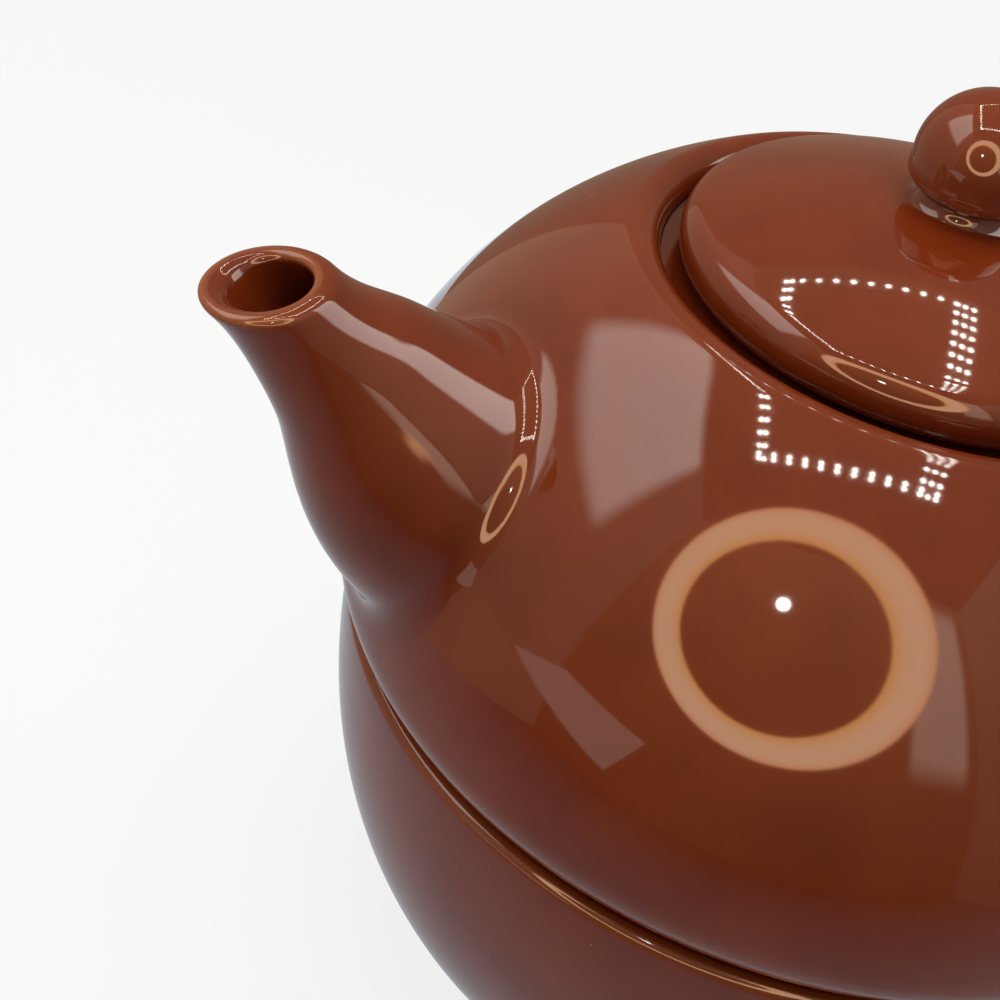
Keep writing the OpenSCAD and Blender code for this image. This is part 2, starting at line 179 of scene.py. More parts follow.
def spun(name, outline, ring=False):
    """Spins an outline round the upright axis. A ring's is closed, a pot's starts and ends on the axis."""
    bm = bmesh.new()
    wire = [bm.verts.new((r * MM, 0, z * MM)) for r, z in outline]
    pairs = list(zip(wire, wire[1:])) + ([(wire[-1], wire[0])] if ring else [])
    edges = [bm.edges.new(pair) for pair in pairs]
    bmesh.ops.spin(bm, geom=wire + edges, cent=(0, 0, 0), axis=(0, 0, 1), angle=math.tau,
                   steps=SPIN_STEPS, use_merge=True)
    return finished(name, bm)


print("A full turn has", SPIN_STEPS, "steps")

# %% [markdown]
# ## Cup
# The cup is a half-round bowl. Its rim has a small rounded edge, and slopes in from there as a seat for the
# pot, so that only a fine dark line stays between the two. The outer and inner curves are ovals a little
# fuller than an ellipse. It could be a cut sphere, but a sphere has no flat base or wall, so the section is
# drawn and spun.

# %% Cup bowl
cup_low, cup_high = (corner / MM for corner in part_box("cup_bowl"))
CUP_R = cup_high.x
CUP_WALL = 4.6
CUP_FLOOR = 5
CUP_BAND = 4.2
RIM_EDGE_R = 1.2
RIM_TURN = 130.7
RIM_INNER_EASE = 1
CUP_FULLNESS = 2.25
CUP_BASE_R = 31.5
CUP_BASE_EASE = 0.8

rim_middle = Vector((CUP_R - RIM_EDGE_R, cup_high.z - RIM_EDGE_R))
cup_curve_top = rim_middle.y - CUP_BAND
cup_base_share = (CUP_BASE_R / CUP_R) ** CUP_FULLNESS
cup_depth = (cup_curve_top - cup_low.z) / (1 - cup_base_share) ** (1 / CUP_FULLNESS)
cup_floor_z = cup_low.z + CUP_FLOOR


def cup_curve(width, depth, lowest):
    """The bowl's curve from its straight band down to a level."""
    end = level_angle(cup_curve_top - lowest, depth, CUP_FULLNESS)
    points = [oval(width, depth, CUP_FULLNESS, end * i / CURVE_STEPS) for i in range(CURVE_STEPS + 1)]
    return [Vector((p.x, cup_curve_top - p.y)) for p in points]


def cup_skin(z):
    """Outside radius of the bowl at a height."""
    return oval_width(CUP_R, cup_depth, CUP_FULLNESS, max(0, cup_curve_top - z))


cup_outside = cup_curve(CUP_R, cup_depth, cup_low.z)[::-1]
cup_inside = cup_curve(CUP_R - CUP_WALL, cup_depth - CUP_WALL, cup_floor_z)
cup_base = eased([(0, cup_low.z), (CUP_BASE_R, cup_low.z, CUP_BASE_EASE), tuple(cup_outside[2])])
cup_rim = arc(rim_middle, RIM_EDGE_R, 0, RIM_TURN)
seat_drop = (cup_rim[-1].x - cup_inside[0].x) * math.tan(math.radians(RIM_TURN - 90))
seat_end = (cup_inside[0].x, cup_rim[-1].y - seat_drop, RIM_INNER_EASE)
cup_seat = eased([tuple(cup_rim[-1]), seat_end, tuple(cup_inside[0])])[1:-1]
cup_outline = cup_base + cup_outside[3:] + cup_rim + cup_seat + cup_inside + [Vector((0, cup_floor_z))]
cup_piece = spun("glazed_cup", cup_outline)
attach(cup_piece, "cup")
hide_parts("cup_bowl")

# %% [markdown]
# ## Pot
# The pot is a dome on a shallow belly. Where the dome ends, a rounded edge turns in and down to a gallery,
# the ledge on which the lid sits. One outline runs over all of it and back along the inside, so the wall has
# its real thickness when the lid is off.

# %% Pot body outline
pot_low, belly_high = (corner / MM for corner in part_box("pot_belly"))
pot_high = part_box("pot_gallery")[1] / MM
POT_R = belly_high.x
POT_SHOULDER = 48.8
POT_FULLNESS = 1.96
POT_BELLY = 18.7
POT_WALL = 4.2
POT_BASE_R = 36
POT_BASE_EASE = 1
MOUTH_R = 28.3
MOUTH_EDGE_R = 2.6
GALLERY_DEPTH = 3
LEDGE_W = 6.3
LEDGE_T = 3.5
LEDGE_EASE = 0.9
GALLERY_EASE = 0.3

pot_base_angle = math.degrees(math.acos(POT_BASE_R / POT_R))
pot_middle = pot_low.z + POT_BELLY * turn(pot_base_angle).y
edge_middle = Vector((MOUTH_R + MOUTH_EDGE_R, pot_high.z - MOUTH_EDGE_R))
ledge_z = pot_high.z - GALLERY_DEPTH
ledge_under = ledge_z - LEDGE_T
ledge_r = MOUTH_R - LEDGE_W


def pot_skin(z):
    """Outside radius of the pot at a height."""
    if z < pot_middle:
        return oval_width(POT_R, POT_BELLY, 2, pot_middle - z)
    return oval_width(POT_R, POT_SHOULDER, POT_FULLNESS, z - pot_middle)


def shoulder(width, height, end):
    """The dome's curve from the widest level up to an angle."""
    points = [oval(width, height, POT_FULLNESS, end * i / CURVE_STEPS) for i in range(1, CURVE_STEPS + 1)]
    return [Vector((p.x, pot_middle + p.y)) for p in points]


def belly(width, depth, lowest):
    """The belly's curve from the widest level down to a height."""
    end = level_angle(pot_middle - lowest, depth, 2)
    points = [oval(width, depth, 2, end * i / ARC_STEPS) for i in range(ARC_STEPS + 1)]
    return [Vector((p.x, pot_middle - p.y)) for p in points]


edge_rise = (edge_middle.y - pot_middle) / POT_SHOULDER
edge_tilt = math.degrees(math.atan2(edge_rise ** (POT_FULLNESS - 1) / POT_SHOULDER,
                                    (edge_middle.x / POT_R) ** (POT_FULLNESS - 1) / POT_R))
shoulder_r = edge_middle.x + MOUTH_EDGE_R * turn(edge_tilt).x
shoulder_end = math.degrees(math.acos((shoulder_r / POT_R) ** (POT_FULLNESS / 2)))
print("Widest level", round(pot_middle, 2), "mm, mouth edge starts at", round(edge_tilt, 1), "degrees")

# %% Pot body
POT_FLOOR_Z = pot_low.z + POT_WALL
inner_r = POT_R - POT_WALL
inner_shoulder = POT_SHOULDER - POT_WALL
inner_end = level_angle(ledge_under - pot_middle, inner_shoulder, POT_FULLNESS)
outside_belly = belly(POT_R, POT_BELLY, pot_low.z)[::-1]
inside_shoulder = shoulder(inner_r, inner_shoulder, inner_end)[::-1]
pot_base = eased([(0, pot_low.z), (POT_BASE_R, pot_low.z, POT_BASE_EASE), tuple(outside_belly[1])])
mouth_edge = arc(edge_middle, MOUTH_EDGE_R, edge_tilt, 180)
gallery = eased([tuple(mouth_edge[-1]), (MOUTH_R, ledge_z, GALLERY_EASE), (ledge_r, ledge_z, LEDGE_EASE),
                 (ledge_r, ledge_under, LEDGE_EASE), tuple(inside_shoulder[0])])
pot_outline = pot_base + outside_belly[2:] + shoulder(POT_R, POT_SHOULDER, shoulder_end)
pot_outline += mouth_edge[1:] + gallery[1:-1] + inside_shoulder
pot_outline += belly(inner_r, POT_BELLY - POT_WALL, POT_FLOOR_Z) + [Vector((0, POT_FLOOR_Z))]
pot_piece = spun("glazed_pot", pot_outline)

# %% [markdown]
# ## Tubes drawn ring by ring
# The spout and the two ear handles are bent tubes that melt into a round pot. A curve with a bevel makes a
# bent tube, but not its soft root. So each tube starts as a circle, which is extruded ring by ring, and every
# vertex of a new ring is set down by its own angle. The angle is kept in a vertex layer, which extruding
# copies.

# %% Tube helpers
TUBE_SIDES = 64
SEARCH_STEPS = 40
NUDGE = 0.001


def bezier(points, t):
    """A point on a cubic curve."""
    a, b, c, d = points
    return a * (1 - t) ** 3 + b * 3 * t * (1 - t) ** 2 + c * 3 * t * t * (1 - t) + d * t ** 3


def heading(points, t):
    """Slope of a cubic curve, in degrees."""
    step = bezier(points, min(t + NUDGE, 1)) - bezier(points, max(t - NUDGE, 0))
    return math.degrees(math.atan2(step.y, step.x))


def swept(name, rings, hollow):
    """A tube through rings, each a function from an angle to a point in millimetres."""
    bm = bmesh.new()
    angle = bm.verts.layers.float.new("angle")
    ring = bmesh.ops.create_circle(bm, segments=TUBE_SIDES, radius=1)["verts"]
    for v in ring:
        v[angle] = math.degrees(math.atan2(v.co.y, v.co.x))
    first = edges = list(bm.edges)
    for number, place in enumerate(rings):
        if number:
            grown = bmesh.ops.extrude_edge_only(bm, edges=edges)["geom"]
            ring = [part for part in grown if isinstance(part, bmesh.types.BMVert)]
            edges = [part for part in grown if isinstance(part, bmesh.types.BMEdge)
                     and all(v in ring for v in part.verts)]
        for v in ring:
            v.co = place(v[angle]) * MM
    if hollow:
        bmesh.ops.bridge_loops(bm, edges=first + edges)
    else:
        bmesh.ops.edgeloop_fill(bm, edges=first)
        bmesh.ops.edgeloop_fill(bm, edges=edges)
    return finished(name, bm)


print("Tubes have", TUBE_SIDES, "sides")

# %% [markdown]
# ## Fillets at the roots
# A potter wipes slip into the corner where a spout meets the pot, and glaze pools in it, so the corner is a
# hollow of about two and a half millimetres. For each line along the tube, the place where it crosses the pot
# is searched for. A short curve then leaves the tube before that place and lands flat on the pot beyond it.

# %% Fillet helpers
FILLET = 2.6
FILLET_STEPS = 7
LANDING_STEPS = 4
SKIRT = 1.2
SKIRT_SINK = 0.06


def skin_gap(point, skin):
    """How far a point is outside a round skin, measured level."""
    return point.xy.length - skin(point.z)


def skin_normal(point, skin):
    """Outward direction of a round skin beside a point."""
    slope = (skin(point.z + NUDGE) - skin(point.z - NUDGE)) / (2 * NUDGE)
    out = point.xy.normalized()
    return Vector((out.x, out.y, -slope)).normalized()


def onto_skin(point, skin):
    """The point moved straight onto a round skin."""
    for _ in range(LANDING_STEPS):
        normal = skin_normal(point, skin)
        point = point - normal * skin_gap(point, skin) * normal.xy.length
    return point


def crossing(line, skin, inside, outside):
    """Place on a line, between one place inside a skin and one outside it, at which it crosses."""
    for _ in range(SEARCH_STEPS):
        middle = (inside + outside) / 2
        if skin_gap(line(middle), skin) > 0:
            outside = middle
        else:
            inside = middle
    return (inside + outside) / 2


def fillet(line, spine, skin, inside, outside):
    """Where a line along a tube leaves its fillet, and the fillet's points from the skin up to there."""
    cross = crossing(line, skin, inside, outside)
    corner = line(cross)
    step = math.copysign(NUDGE, outside - inside)
    along = (line(cross + step) - corner) / step
    leave = cross + math.copysign(FILLET / along.length, step)
    normal = skin_normal(corner, skin)
    away = corner - spine(cross)
    away -= along * (away.dot(along) / along.length_squared)
    away = (away - normal * away.dot(normal)).normalized()
    landing = onto_skin(corner + away * FILLET, skin)
    skirt = onto_skin(corner + away * (FILLET + SKIRT), skin) - normal * SKIRT_SINK
    shares = [i / FILLET_STEPS for i in range(FILLET_STEPS)]
    curve = [landing * (1 - u) ** 2 + corner * 2 * u * (1 - u) + line(leave) * u * u for u in shares]
    return leave, [skirt] + curve


print("Fillets are", FILLET, "mm, in", FILLET_STEPS, "steps")

# %% [markdown]
# ## Spout
# The spout swells at its root, narrows to a throat and ends in a rounded lip that is cut nearly level, so
# that the last drop runs back. Its middle line and its taper are each one cubic curve. The rings lean over
# towards the cut as they near the lip, and stand out a little on its outer side, as a beak that parts the
# drop.

# %% Spout curves
SPOUT_ROOT = (-13, 13.8)
SPOUT_TIP = (11.6, 0.4)
SPOUT_SLOPES = (41, 44.5)
SPOUT_PULLS = (15, 15.2)
SPOUT_TAPER = (31.4, 32.8, 11.8, 12.3)
SPOUT_WALLS = (3.2, 2.3)
LIP_SLOPE = -12
LIP_SHARE = 0.35
LIP_ROUND = 1.2
LIP_RISE = 0.3
BEAK = 0.3
BEAK_FROM = 0.75

spout_root = Vector((POT_R + SPOUT_ROOT[0], pot_middle + SPOUT_ROOT[1]))
spout_tip = Vector((POT_R + SPOUT_TIP[0], pot_high.z + SPOUT_TIP[1]))
spout_line = (spout_root, spout_root + SPOUT_PULLS[0] * turn(SPOUT_SLOPES[0]),
              spout_tip - SPOUT_PULLS[1] * turn(SPOUT_SLOPES[1]), spout_tip)
lip_turn = LIP_SLOPE + 90 - SPOUT_SLOPES[1]


def spout_spine(t):
    """Middle of the spout."""
    middle = bezier(spout_line, t)
    return Vector((-middle.x, 0, middle.y))


def spout_side(angle, t, wall_share):
    """A point on the spout's outside, or on its bore where wall_share is 1."""
    c, s = turn(angle)
    lean = max(0, (t - 1 + LIP_SHARE) / LIP_SHARE)
    across = turn(heading(spout_line, t) - 90 + lip_turn * lean * lean * (3 - 2 * lean))
    wall = SPOUT_WALLS[0] + (SPOUT_WALLS[1] - SPOUT_WALLS[0]) * t
    beak = BEAK * max(0, (t - BEAK_FROM) / (1 - BEAK_FROM)) ** 2 * (0.5 + 0.5 * c) ** 2
    radius = bezier([d / 2 for d in SPOUT_TAPER], t) + beak - wall * wall_share
    return spout_spine(t) + Vector((-across.x * radius * c, radius * s, across.y * radius * c))


print("Spout reaches", round(spout_tip.x, 1), "mm out and", round(spout_tip.y, 1), "mm up")

# %% Spout
SPOUT_RINGS = 30
BORE_RINGS = 24
LIP_RINGS = 12
BORE_SINK = 0.02


def spout_column(angle):
    """All points along one side of the spout: fillet, outside, lip and bore."""

    def outside(t):
        return spout_side(angle, t, 0)

    def bore(t):
        return spout_side(angle, t, 1)

    leave, points = fillet(outside, spout_spine, pot_skin, 0, 1)
    edge, inner_edge = outside(1), bore(1)
    along = (edge - outside(1 - NUDGE) + inner_edge - bore(1 - NUDGE)).normalized()
    speed = (edge - outside(1 - NUDGE)).length / NUDGE
    lip_middle = (edge + inner_edge) / 2 - along * (LIP_ROUND - LIP_RISE)
    lip_half = (edge - inner_edge) / 2
    lip_start = 1 - (LIP_ROUND - LIP_RISE) / speed
    points += [outside(leave + (lip_start - leave) * i / SPOUT_RINGS) for i in range(SPOUT_RINGS)]
    for i in range(LIP_RINGS + 1):
        c, s = turn(180 * i / LIP_RINGS)
        points.append(lip_middle + lip_half * c + along * LIP_ROUND * s)
    bottom = crossing(bore, pot_skin, 0, 1) - BORE_SINK
    points += [bore(lip_start + (bottom - lip_start) * i / BORE_RINGS) for i in range(1, BORE_RINGS + 1)]
    return points


def by_angle(column):
    """Rings for swept, from a function that gives all points of one side."""
    columns = {}

    def point(angle, number):
        key = round(angle, 3)
        if key not in columns:
            columns[key] = column(angle)
        return columns[key][number]

    return [lambda angle, number=number: point(angle, number) for number in range(len(column(0)))]


spout_piece = swept("glazed_spout", by_angle(spout_column), hollow=True)

# %% [markdown]
# ## Strainer
# The pot's wall is pierced behind the spout, so that the leaves stay in the pot. The holes are drilled in the
# soft clay, square to the wall. In mesh code they are cylinders taken away with a Boolean modifier, which is
# applied at once, because holes on a curved wall don't fall on the wall's own edges.

# %% Strainer
HOLE_D = 3.6
HOLE_PITCH = 6.6
HOLE_SIDES = 32

strainer_t = crossing(spout_spine, pot_skin, 0, 1)
strainer_place = spout_spine(strainer_t)
strainer_axis = skin_normal(strainer_place, pot_skin)
drill = Matrix.Translation(strainer_place * MM) @ strainer_axis.to_track_quat("Z", "Y").to_matrix().to_4x4()
bm = bmesh.new()
for place in [Vector((0, 0))] + [HOLE_PITCH * turn(60 * i) for i in range(6)]:
    at = drill @ Matrix.Translation((place.x * MM, place.y * MM, 0))
    bmesh.ops.create_cone(bm, cap_ends=True, segments=HOLE_SIDES, radius1=HOLE_D / 2 * MM,
                          radius2=HOLE_D / 2 * MM, depth=4 * POT_WALL * MM, matrix=at)
drills = finished("drills", bm)
holes = pot_piece.modifiers.new("strainer", "BOOLEAN")
holes.operation = "DIFFERENCE"
holes.object = drills
drilled = pot_piece.evaluated_get(bpy.context.evaluated_depsgraph_get())
pot_piece.modifiers.clear()
pot_piece.data = bpy.data.meshes.new_from_object(drilled)
bpy.data.objects.remove(drills)
pot_piece.data.set_sharp_from_angle(angle=math.radians(CRISP_ANGLE))
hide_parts("pot_gallery", "pot_shoulder", "pot_belly", "pot_strainer")
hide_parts("pot_spout")
for piece in (pot_piece, spout_piece):
    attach(piece, "pot")
print("Pot has", len(pot_piece.data.polygons), "faces after drilling")

# %% [markdown]
# ## Handles
# Each ear handle is a pulled strap of clay, wider than it is thick, that widens again at its two roots. It is
# a tube like the spout, but solid, and it lands on its pot with a fillet at both ends.

# %% Handle helper
HANDLE_RINGS = 48
ROOT_FLARE = 0.4
ROOT_POWER = 4
BEND_RISE = 0.26
BEND_SAG = 0.1


def ear_handle(name, skin, top_z, bottom_z, reach, width, thick):
    """A strap from an upper to a lower root on a round skin, with its bend out at reach."""
    top = Vector((skin(top_z) - thick, top_z))
    bottom = Vector((skin(bottom_z) - thick, bottom_z))
    bend = (reach - (top.x + bottom.x) / 8) * 4 / 3
    rise = top_z - bottom_z
    upper_bend = Vector((bend, top_z + BEND_RISE * rise))
    lower_bend = Vector((bend, bottom_z - BEND_SAG * rise))
    line = (top, upper_bend, lower_bend, bottom)

    def spine(t):
        middle = bezier(line, t)
        return Vector((middle.x, 0, middle.y))

    def side(angle, t):
        flare = 1 + ROOT_FLARE * abs(2 * t - 1) ** ROOT_POWER
        c, s = turn(angle)
        across = turn(heading(line, t) - 90) * thick * flare / 2 * c
        return spine(t) + Vector((across.x, width * flare / 2 * s, across.y))

    def column(angle):
        def strap(t):
            return side(angle, t)

        start, upper = fillet(strap, spine, skin, 0, 0.5)
        end, lower = fillet(strap, spine, skin, 1, 0.5)
        middle = [strap(start + (end - start) * i / HANDLE_RINGS) for i in range(HANDLE_RINGS + 1)]
        return upper + middle + lower[::-1]

    return swept(name, by_angle(column), hollow=False)


print("Handles have", HANDLE_RINGS, "rings between their fillets")

# %% Both handles
CUP_HANDLE_DROP = 13
CUP_HANDLE_BOTTOM = 19
CUP_HANDLE_REACH = 22
CUP_STRAP_W = 11
CUP_STRAP_T = 7
POT_HANDLE_DROP = 9
POT_HANDLE_BOTTOM = 3
POT_HANDLE_REACH = 23
POT_STRAP_W = 12
POT_STRAP_T = 7.5

cup_handle = ear_handle("glazed_cup_handle", cup_skin, cup_high.z - CUP_HANDLE_DROP, CUP_HANDLE_BOTTOM,
                        CUP_R + CUP_HANDLE_REACH, CUP_STRAP_W, CUP_STRAP_T)
pot_handle = ear_handle("glazed_pot_handle", pot_skin, pot_high.z - POT_HANDLE_DROP,
                        pot_middle + POT_HANDLE_BOTTOM, POT_R + POT_HANDLE_REACH, POT_STRAP_W, POT_STRAP_T)
for piece, body in ((cup_handle, "cup"), (pot_handle, "pot")):
    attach(piece, body)
    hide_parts(body + "_handle")

# %% [markdown]
# ## Foot rings and collar
# The two foot rings and the lid's collar are the only bare clay: glaze there would stick to the kiln shelf or
# weld the lid to the pot. Each is a plain ring, sponged round at its lower edges.

# %% Bare rings
RING_EASE = 0.9
RING_WIDTHS = {"cup_foot_ring": 4.5, "pot_foot_ring": 4.5, "lid_collar": 3.2}

bare_pieces = []
for node, width in RING_WIDTHS.items():
    low, high = (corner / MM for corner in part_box(node))
    inner = high.x - width
    ring = eased([(inner, high.z), (inner, low.z, RING_EASE), (high.x, low.z, RING_EASE), (high.x, high.z)])
    piece = spun("bare_" + node, ring, ring=True)
    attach(piece, node.split("_")[0])
    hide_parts(node)
    bare_pieces.append(piece)

# %% [markdown]
# ## Lid
# The lid is a domed cap with a turned-under edge, so that it drops into the gallery and a fingertip-wide
# shadow stays round it. A ball knob stands on it, on a neck that flares into the crown. The flare is an arc
# that touches both the neck and the crown, so the glaze runs over the joint without a crease.

# %% Lid cap
lid_low, lid_high = (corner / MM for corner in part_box("lid_cap"))
LID_R = lid_high.x
LID_UNDER_R = 2.4
LID_SIDE_H = 0.5
LID_EDGE_R = 3.2
LID_CROWN_R = 60
LID_WALL = 4
COLLAR_INNER_R = 18.2

lid_under = Vector((LID_R - LID_UNDER_R, lid_low.z + LID_UNDER_R))
lid_edge = Vector((LID_R - LID_EDGE_R, lid_under.y + LID_SIDE_H))
crown_tilt = math.degrees(math.asin(lid_edge.x / (LID_CROWN_R - LID_EDGE_R)))
crown_middle = Vector((0, lid_edge.y - (LID_CROWN_R - LID_EDGE_R) * turn(crown_tilt).x))
under_r = LID_CROWN_R - LID_WALL
under_end = math.degrees(math.acos(COLLAR_INNER_R / under_r))
cap_outline = [Vector((COLLAR_INNER_R, lid_low.z))] + arc(lid_under, LID_UNDER_R, -90, 0)
cap_outline += arc(lid_edge, LID_EDGE_R, 0, 90 - crown_tilt)
cap_outline += arc(crown_middle, LID_CROWN_R, 90 - crown_tilt, 90, CURVE_STEPS)[1:]
cap_outline += arc(crown_middle, under_r, 90, under_end)
cap_piece = spun("glazed_lid", cap_outline, ring=True)

# %% Lid knob
KNOB_NECK_R = 5
KNOB_NECK_H = 0.3
KNOB_FLARE_R = 1.6
KNOB_R = 6.8
KNOB_SINK = 0.05
KNOB_SKIRT = 2.2

knob_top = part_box("lid_knob")[1].z / MM
flare_r = KNOB_NECK_R + KNOB_FLARE_R
flare_reach = LID_CROWN_R + KNOB_FLARE_R
flare_tilt = math.degrees(math.asin(flare_r / flare_reach))
flare_middle = crown_middle + flare_reach * turn(90 - flare_tilt)
skirt_tilt = flare_tilt + math.degrees(KNOB_SKIRT / LID_CROWN_R)
knob_skirt = arc(crown_middle, LID_CROWN_R - KNOB_SINK, 90 - skirt_tilt, 90 - flare_tilt)[:-1]
knob_under = knob_skirt[0].y - LID_WALL / 2
turn_r = KNOB_R - KNOB_NECK_R
turn_z = flare_middle.y + KNOB_NECK_H + turn_r
knob_outline = [Vector((0, knob_under)), Vector((knob_skirt[0].x, knob_under))] + knob_skirt
knob_outline += arc(flare_middle, KNOB_FLARE_R, 270 - flare_tilt, 180)
knob_outline += arc((KNOB_NECK_R, turn_z), turn_r, -90, 0)
knob_outline += arc((0, knob_top - KNOB_R), KNOB_R, 0, 90, CURVE_STEPS)
knob_piece = spun("glazed_knob", knob_outline)
for piece, node in ((cap_piece, "lid_cap"), (knob_piece, "lid_knob")):
    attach(piece, "lid")
    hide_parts(node)

# %% [markdown]
# ## Where the glaze is thick and thin, and painted crease shade
# Molten glaze runs off edges and gathers in hollows, so a rim shows the lighter clay through thin glaze and
# a fillet is dark. Hollows are also painted darker, as painted shade for the light that falls less into a
# crease.
# A bevel node or ambient occlusion could find edges, but neither survives an export. So each vertex gets a
# number from the bend of the mesh around it: above 0 on edges and below 0 in hollows, where it paints shade.

# %% Glaze flow and painted crease shade
EDGE_BEND = (200, 700)
HOLLOW_BEND = (150, 900)
BEND_SMOOTHINGS = 3


def ramp(low, high, values):
    """Smooth step from 0 at low to 1 at high."""
    share = np.clip((values - low) / (high - low), 0, 1)
    return share * share * (3 - 2 * share)


def glaze_flow_and_crease_shade(piece):
    """Stores how far the glaze has left (above 0) or filled (below 0) each point of a piece; below 0 also
    paints shade.
    """
    mesh = piece.data
    place = np.zeros(len(mesh.vertices) * 3)
    mesh.vertices.foreach_get("co", place)
    place = place.reshape(-1, 3)
    normal = np.zeros(len(mesh.vertices) * 3)
    mesh.vertices.foreach_get("normal", normal)
    normal = normal.reshape(-1, 3)
    pairs = np.zeros(len(mesh.edges) * 2, dtype=int)
    mesh.edges.foreach_get("vertices", pairs)
    pairs = np.concatenate([pairs.reshape(-1, 2), pairs.reshape(-1, 2)[:, ::-1]])
    step = place[pairs[:, 0]] - place[pairs[:, 1]]
    length = np.maximum((step ** 2).sum(1), 1e-12)
    bend = np.zeros(len(place))
    count = np.maximum(np.bincount(pairs[:, 0], minlength=len(place)), 1)
    np.add.at(bend, pairs[:, 0], 2 * (step * normal[pairs[:, 0]]).sum(1) / length)
    bend /= count
    for _ in range(BEND_SMOOTHINGS):
        around = np.zeros(len(place))
        np.add.at(around, pairs[:, 0], bend[pairs[:, 1]])
        bend = (bend + around / count) / 2
    # Below 0 marks hollows, which the glaze colour darkens as pooled glaze and as painted shade in the
    # crease.
    flow_and_shade = ramp(*EDGE_BEND, bend) - ramp(*HOLLOW_BEND, -bend)
    layer = mesh.attributes.new("glaze_flow_and_crease_shade", "FLOAT", "POINT")
    layer.data.foreach_set("value", flow_and_shade.astype(np.float32))
    print(piece.name, "glaze flow from", round(flow_and_shade.min(), 2), "to", round(flow_and_shade.max(), 2))


glazed_pieces = [cup_piece, cup_handle, pot_piece, spout_piece, pot_handle, cap_piece, knob_piece]
for piece in glazed_pieces:
    glaze_flow_and_crease_shade(piece)

# %% [markdown]
# ## Colours and nodes
# Colours are written as the sRGB values that a screen shows, and shaders work in linear light, so one
# function turns one into the other. A second small function adds a node, sets it up and links it.

# %% Material helpers


def linear(hex_colour):
    """Linear RGBA from an sRGB hex colour."""
    channels = [int(hex_colour[i:i + 2], 16) / 255 for i in (1, 3, 5)]
    return [c / 12.92 if c <= 0.04045 else ((c + 0.055) / 1.055) ** 2.4 for c in channels] + [1]


def add(tree, kind, inputs=None, **settings):
    """Adds a shader node. An input that is a socket is linked, and any other is set."""
    node = tree.nodes.new("ShaderNode" + kind)
    for key, value in settings.items():
        setattr(node, key, value)
    for socket, value in (inputs or {}).items():
        if isinstance(value, bpy.types.NodeSocket):
            tree.links.new(value, node.inputs[socket])
        else:
            node.inputs[socket].default_value = value
    return node


def new_material(name):
    """An empty node material with its output, and its tree."""
    material = bpy.data.materials.new(name)
    material.use_nodes = True
    material.node_tree.nodes.clear()
    return material, material.node_tree


def per_mm(size):
    """Texture scale at which one cell of a pattern is this many millimetres."""
    return 1 / (size * MM)


print("Chestnut is", [round(c, 3) for c in linear("#712a0e")])

# %% [markdown]
# ## Chestnut glaze
# An iron-bearing glaze, fired glossy over stoneware: a skin of coloured glass. To the eye it is a deep
# red-brown under a hard clear shine, paler and browner where it is thin on a rim, nearly black where it has
# pooled, and darkened further there as painted shade in the crease, with slow clouds of tone, a few pinholes
# and dust specks, and a faint waviness in its reflections.

# %% Chestnut glaze
GLAZE_IOR = 1.54
GLAZE_ROUGHNESS = 0.05
CLOUD_MM = 16
WAVE_MM = 9
WAVE_HEIGHT_MM = 0.012
SPECK_CELL_MM = 5
SPECK_MM = 0.16
SPECK_SHARE = 0.3
SPECK_TINT = 0.45
SPECK_ROUGHNESS = 0.4

glaze, tree = new_material("iron_glaze_fired_glossy")
coords = add(tree, "TexCoord").outputs["Object"]
flow_and_shade = add(tree, "Attribute", attribute_name="glaze_flow_and_crease_shade").outputs["Fac"]
cloud = add(tree, "TexNoise", {"Vector": coords, "Scale": per_mm(CLOUD_MM), "Detail": 4, "Roughness": 0.55})
cloud_shift = add(tree, "MapRange", {"Value": cloud.outputs["Fac"], "From Min": 0.25, "From Max": 0.75,
                                     "To Min": -0.16, "To Max": 0.16})
amount = add(tree, "Math", {0: flow_and_shade, 1: cloud_shift.outputs["Result"]}, operation="ADD")
amount = add(tree, "MapRange", {"Value": amount.outputs["Value"], "From Min": -1, "From Max": 1})
coat_tone_and_shade = add(tree, "ValToRGB", {"Fac": amount.outputs["Result"]})
# The darkest stop colours hollows: pooled glaze, darkened further as painted shade in creases.
coat_tone_and_shade.color_ramp.elements[0].color = linear("#3a0f05")
coat_tone_and_shade.color_ramp.elements[1].color = linear("#8f4a26")
for place, tone in ((0.4, "#60200a"), (0.5, "#712a0e"), (0.62, "#7c3414")):
    coat_tone_and_shade.color_ramp.elements.new(place).color = linear(tone)
specks = add(tree, "TexVoronoi", {"Vector": coords, "Scale": per_mm(SPECK_CELL_MM)})
speck_size = add(tree, "MapRange", {"Value": specks.outputs["Distance"],
                                    "From Min": SPECK_MM / SPECK_CELL_MM,
                                    "From Max": 0.4 * SPECK_MM / SPECK_CELL_MM})
speck_pick = add(tree, "SeparateColor", {"Color": specks.outputs["Color"]})
speck_pick = add(tree, "Math", {0: speck_pick.outputs["Red"], 1: SPECK_SHARE}, operation="LESS_THAN")
speck = add(tree, "Math", {0: speck_size.outputs["Result"], 1: speck_pick.outputs["Value"]},
            operation="MULTIPLY")
speck_tint = add(tree, "Math", {0: speck.outputs["Value"], 1: SPECK_TINT}, operation="MULTIPLY")
tone = add(tree, "Mix", {"Factor": speck_tint.outputs["Value"], "A": coat_tone_and_shade.outputs["Color"],
                         "B": linear("#c79a78")}, data_type="RGBA")
gloss = add(tree, "MapRange", {"Value": speck.outputs["Value"], "To Min": GLAZE_ROUGHNESS,
                               "To Max": SPECK_ROUGHNESS})
waves = add(tree, "TexNoise", {"Vector": coords, "Scale": per_mm(WAVE_MM), "Detail": 1})
wavy = add(tree, "Bump", {"Height": waves.outputs["Fac"], "Distance": WAVE_HEIGHT_MM * MM, "Strength": 1})
